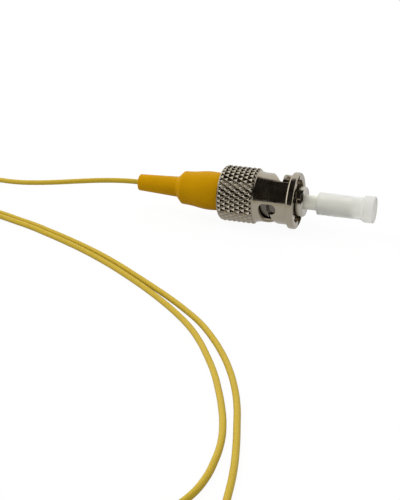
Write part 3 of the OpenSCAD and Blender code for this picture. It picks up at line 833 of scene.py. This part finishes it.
def white_paper():
    """Matt white paper: plain white with a faint soft shadow, and a little greyer where metal mirrors it."""
    material, tree, shader = surface("White paper", Base_Color=finishes().floor[:], Roughness=0.9)
    if tree is None:
        return material
    rays = add(tree, "ShaderNodeLightPath")
    direct = add(tree, "ShaderNodeMath", {0: rays.outputs["Is Camera Ray"], 1: rays.outputs["Is Glossy Ray"]},
                 operation="MAXIMUM")
    seen = add(tree, "ShaderNodeMath", {0: direct.outputs[0], 1: rays.outputs["Is Transmission Ray"]},
               operation="MAXIMUM")
    share = add(tree, "ShaderNodeMath", {0: seen.outputs[0], 1: 0.92}, operation="MULTIPLY")
    strength = add(tree, "ShaderNodeMath", {0: rays.outputs["Is Glossy Ray"], 1: -0.4, 2: 1.03},
                   operation="MULTIPLY_ADD")
    white = add(tree, "ShaderNodeEmission", {"Color": (1, 1, 1, 1), "Strength": strength.outputs[0]})
    mix = add(tree, "ShaderNodeMixShader", {0: share.outputs[0], 1: shader.outputs[0], 2: white.outputs[0]})
    tree.links.new(mix.outputs[0], tree.nodes["Material Output"].inputs["Surface"])
    return material


class ConnectorStage(bpy.types.Operator):
    """Sets the paper floor, the soft lamps, the surroundings and the camera"""
    bl_idname = "connector.stage"
    bl_label = "Stage"

    def execute(self, context):
        scene = context.scene
        scene.view_settings.view_transform = "Standard"
        mesh = bpy.data.meshes.new("Paper floor")
        reach = 1.5
        mesh.from_pydata([(-reach, -reach, 0), (reach, -reach, 0), (reach, reach, 0), (-reach, reach, 0)], [],
                         [(0, 1, 2, 3)])
        floor = bpy.data.objects.new("Paper floor", mesh)
        floor.location.z = -0.02 * MM
        mesh.materials.append(white_paper())
        scene.collection.objects.link(floor)
        self.surroundings(scene)
        for name, place, power, warmth in (
                ("Soft box left", (-0.3, -0.02, 0.4), 1.3, (1, 0.98, 0.94)),
                ("Soft box back", (-0.1, 0.42, 0.35), 1.0, (1, 1, 1))):
            lamp = bpy.data.lights.new(name, "AREA")
            lamp.size = LAMP_ACROSS
            lamp.energy = power
            lamp.color = warmth
            made = bpy.data.objects.new(name, lamp)
            made.location = place
            made.rotation_euler = (-Vector(place)).to_track_quat("-Z", "Y").to_euler()
            # Metal mirrors the surroundings alone
            made.visible_glossy = False
            scene.collection.objects.link(made)
        eye = bpy.data.cameras.new("Camera")
        eye.lens = 81.43
        eye.clip_start, eye.clip_end = 0.005, 10
        camera = bpy.data.objects.new("Camera", eye)
        camera.location = (50.35 * MM, -174 * MM, 72.7 * MM)
        camera.rotation_euler = (math.radians(66.68), 0, math.radians(19.05))
        scene.collection.objects.link(camera)
        scene.camera = camera
        return {"FINISHED"}

    @staticmethod
    def surroundings(scene):
        """What metal mirrors: white low down and behind, dim in front and overhead, white beside the boot."""
        world = bpy.data.worlds.new("Studio")
        scene.world = world
        world.use_nodes = True
        tree = world.node_tree
        tree.nodes.clear()
        way = add(tree, "ShaderNodeTexCoord").outputs["Generated"]
        parts = add(tree, "ShaderNodeSeparateXYZ", {0: way})
        # Turns about the connector's axis: 0 in front, a quarter overhead, a half behind
        front = add(tree, "ShaderNodeMath", {0: parts.outputs["Y"], 1: -1}, operation="MULTIPLY")
        angle = add(tree, "ShaderNodeMath", {0: parts.outputs["Z"], 1: front.outputs[0]}, operation="ARCTAN2")
        ramp = add(tree, "ShaderNodeMapRange",
                   {"Value": angle.outputs[0], 1: -math.pi, 2: math.pi, 3: 0, 4: 1})
        room = add(tree, "ShaderNodeValToRGB", {0: ramp.outputs[0]})
        white, dim = (1, 1, 1, 1), (0.012, 0.009, 0.006, 1)
        stops = room.color_ramp
        stops.elements[0].position, stops.elements[0].color = 0, white
        stops.elements[1].position, stops.elements[1].color = 1, white
        for degrees, shade in ((-16, white), (-8, dim), (112, dim), (124, white)):
            stops.elements.new((degrees + 180) / 360).color = shade
        # A white reflector on the boot's side lights the knurl's flanks
        side = add(tree, "ShaderNodeMapRange", {"Value": parts.outputs["X"], 1: -0.45, 2: -0.7, 3: 0, 4: 1})
        walls = add(tree, "ShaderNodeMix", {"Factor": side.outputs[0], "A": room.outputs[0]},
                    data_type="RGBA")
        walls.inputs["B"].default_value = (1.7, 1.7, 1.65, 1)
        rays = add(tree, "ShaderNodeLightPath")
        mirror = add(tree, "ShaderNodeBackground", {"Color": walls.outputs["Result"], "Strength": 0.85})
        seen = add(tree, "ShaderNodeBackground", {"Color": white, "Strength": 1.0})
        fill = add(tree, "ShaderNodeBackground", {"Color": white, "Strength": 0.75})
        lit = add(tree, "ShaderNodeMixShader",
                  {0: rays.outputs["Is Glossy Ray"], 1: fill.outputs[0], 2: mirror.outputs[0]})
        clear = add(tree, "ShaderNodeMath", {0: rays.outputs["Is Camera Ray"],
                                             1: rays.outputs["Is Transmission Ray"]}, operation="MAXIMUM")
        mix = add(tree, "ShaderNodeMixShader", {0: clear.outputs[0], 1: lit.outputs[0], 2: seen.outputs[0]})
        out = add(tree, "ShaderNodeOutputWorld")
        tree.links.new(mix.outputs[0], out.inputs["Surface"])


# ---- Panel and registration ----

OPERATORS = (ConnectorStage, ConnectorFibre, ConnectorNut, ConnectorBarrel, ConnectorSpring, ConnectorInside,
             ConnectorBoot, ConnectorCap)


class CONNECTOR_PT_build(bpy.types.Panel):
    """Lists the sizes, the colours and the pieces of the connector"""
    bl_label = "Fibre Connector"
    bl_idname = "CONNECTOR_PT_build"
    bl_space_type = "VIEW_3D"
    bl_region_type = "UI"
    bl_category = "Connector"

    def draw(self, context):
        for group in (nut_sizes(), soft_sizes(), finishes()):
            box = self.layout.box()
            for name in group.__annotations__:
                box.prop(group, name)
        for operator in OPERATORS:
            self.layout.operator(operator.bl_idname)


CLASSES = (NutSizes, SoftSizes, Finishes, *OPERATORS, CONNECTOR_PT_build)


def register():
    for made in CLASSES:
        bpy.utils.register_class(made)
    bpy.types.Scene.connector_nut = bpy.props.PointerProperty(type=NutSizes)
    bpy.types.Scene.connector_soft = bpy.props.PointerProperty(type=SoftSizes)
    bpy.types.Scene.connector_finishes = bpy.props.PointerProperty(type=Finishes)


def unregister():
    del bpy.types.Scene.connector_nut
    del bpy.types.Scene.connector_soft
    del bpy.types.Scene.connector_finishes
    for made in reversed(CLASSES):
        bpy.utils.unregister_class(made)


def main():
    register()
    for operator in OPERATORS:
        group, name = operator.bl_idname.split(".")
        getattr(getattr(bpy.ops, group), name)()


if __name__ == "__main__":
    main()
